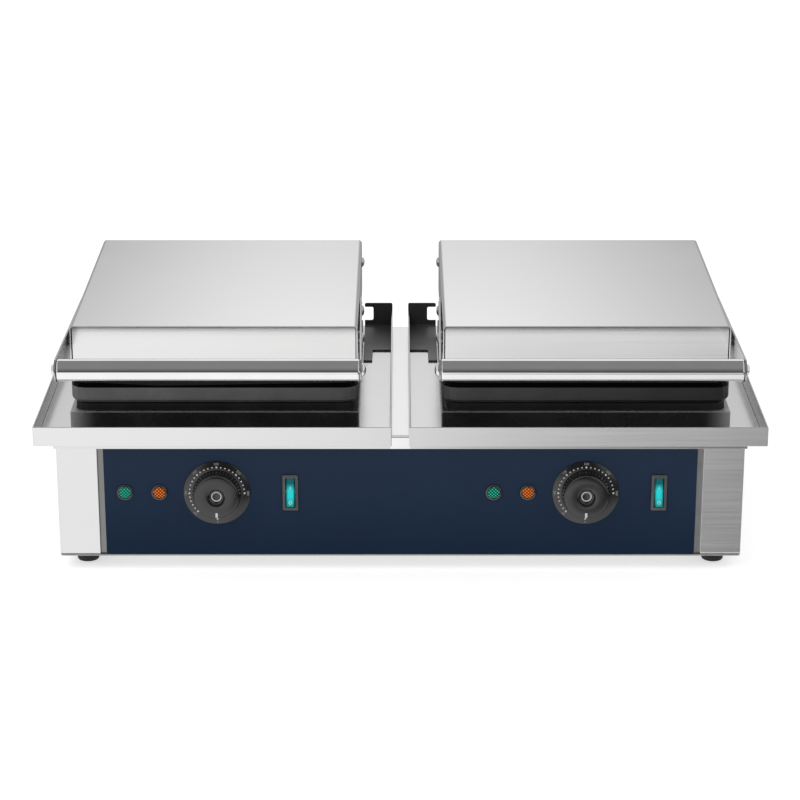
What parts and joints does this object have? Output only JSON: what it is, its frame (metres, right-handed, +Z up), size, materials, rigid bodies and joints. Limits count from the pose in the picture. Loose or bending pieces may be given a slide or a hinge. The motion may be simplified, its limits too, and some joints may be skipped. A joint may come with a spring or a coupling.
{
  "type": "belgian waffle maker",
  "caption": "Countertop waffle maker with cooking units side by side, each with cast waffle plates, a drip tray and a back-hinged lid with a bar handle.",
  "frame": {"origin": "on the bench, under the middle of the bounding box with both lids closed", "axes": "+X to the right along the control panel, +Y from the control panel to the back, +Z up"},
  "size_m": [0.62, 0.377, 0.2178],
  "materials": {
    "brushed_steel": "brushed",
    "polished_steel": "polished",
    "plain_steel": "plain mill finish",
    "navy_paint": "satin paint",
    "cast_black": "cast, black non-stick coating",
    "satin_black": "satin black coating",
    "black_plastic": "matte",
    "green_lens": "translucent, lit",
    "orange_lens": "translucent, lit",
    "teal_lens": "translucent, lit",
    "heater_metal": "oxidised sheath",
    "rubber_black": "matte",
    "ceramic_white": "glazed insulator"
  },
  "bodies": {
    "base": {"base_housing": "brushed_steel", "bottom_plate": "plain_steel", "rear_panel": "brushed_steel", "control_panel": "navy_paint", "top_deck": "brushed_steel", "deck_edge_band": "brushed_steel", "cable_gland": "black_plastic", "terminal_block": "ceramic_white", "front_left_foot": "rubber_black", "front_right_foot": "rubber_black", "rear_left_foot": "rubber_black", "rear_right_foot": "rubber_black", "left_tray": "brushed_steel", "left_plate_surround": "satin_black", "left_lower_baking_plate": "cast_black", "left_lower_heating_element": "heater_metal", "left_hinge_bracket": "plain_steel", "left_hinge_pin": "polished_steel", "left_notched_bracket": "satin_black", "left_power_lamp": "green_lens", "left_heating_lamp": "orange_lens", "left_dial_ring": "black_plastic", "left_thermostat": "black_plastic", "left_switch_body": "black_plastic", "right_tray": "brushed_steel", "right_plate_surround": "satin_black", "right_lower_baking_plate": "cast_black", "right_lower_heating_element": "heater_metal", "right_hinge_bracket": "plain_steel", "right_hinge_pin": "polished_steel", "right_notched_bracket": "satin_black", "right_power_lamp": "green_lens", "right_heating_lamp": "orange_lens", "right_dial_ring": "black_plastic", "right_thermostat": "black_plastic", "right_switch_body": "black_plastic"},
    "left_lid": {"left_lid_shell": "brushed_steel", "left_upper_baking_plate": "cast_black", "left_upper_heating_element": "heater_metal", "left_lid_heat_shield": "plain_steel", "left_lid_hinge_yoke": "plain_steel", "left_lid_left_arm": "brushed_steel", "left_lid_right_arm": "brushed_steel", "left_handle": "polished_steel"},
    "left_knob_and_shaft": {"left_knob": "black_plastic", "left_thermostat_shaft": "plain_steel"},
    "left_rocker_switch": {"left_rocker": "teal_lens"},
    "right_lid": {"right_lid_shell": "brushed_steel", "right_upper_baking_plate": "cast_black", "right_upper_heating_element": "heater_metal", "right_lid_heat_shield": "plain_steel", "right_lid_hinge_yoke": "plain_steel", "right_lid_left_arm": "brushed_steel", "right_lid_right_arm": "brushed_steel", "right_handle": "polished_steel"},
    "right_knob_and_shaft": {"right_knob": "black_plastic", "right_thermostat_shaft": "plain_steel"},
    "right_rocker_switch": {"right_rocker": "teal_lens"}
  },
  "joints": [
    {"name": "left_lid_hinge", "type": "hinge", "parent": "base", "child": "left_lid", "pos_m": [-0.15875, 0.1697, 0.186], "axis": [-1, 0, 0], "range_deg": [0, 100]},
    {"name": "left_knob_turn", "type": "hinge", "parent": "base", "child": "left_knob_and_shaft", "pos_m": [-0.15785, -0.131, 0.0729], "axis": [0, 1, 0], "range_deg": [0, 270]},
    {"name": "left_rocker_tilt", "type": "hinge", "parent": "base", "child": "left_rocker_switch", "pos_m": [-0.09475, -0.1262, 0.0729], "axis": [1, 0, 0], "range_deg": [0, 16]},
    {"name": "right_lid_hinge", "type": "hinge", "parent": "base", "child": "right_lid", "pos_m": [0.15875, 0.1697, 0.186], "axis": [-1, 0, 0], "range_deg": [0, 100]},
    {"name": "right_knob_turn", "type": "hinge", "parent": "base", "child": "right_knob_and_shaft", "pos_m": [0.15965, -0.131, 0.0729], "axis": [0, 1, 0], "range_deg": [0, 270]},
    {"name": "right_rocker_tilt", "type": "hinge", "parent": "base", "child": "right_rocker_switch", "pos_m": [0.22275, -0.1262, 0.0729], "axis": [1, 0, 0], "range_deg": [0, 16]}
  ]
}
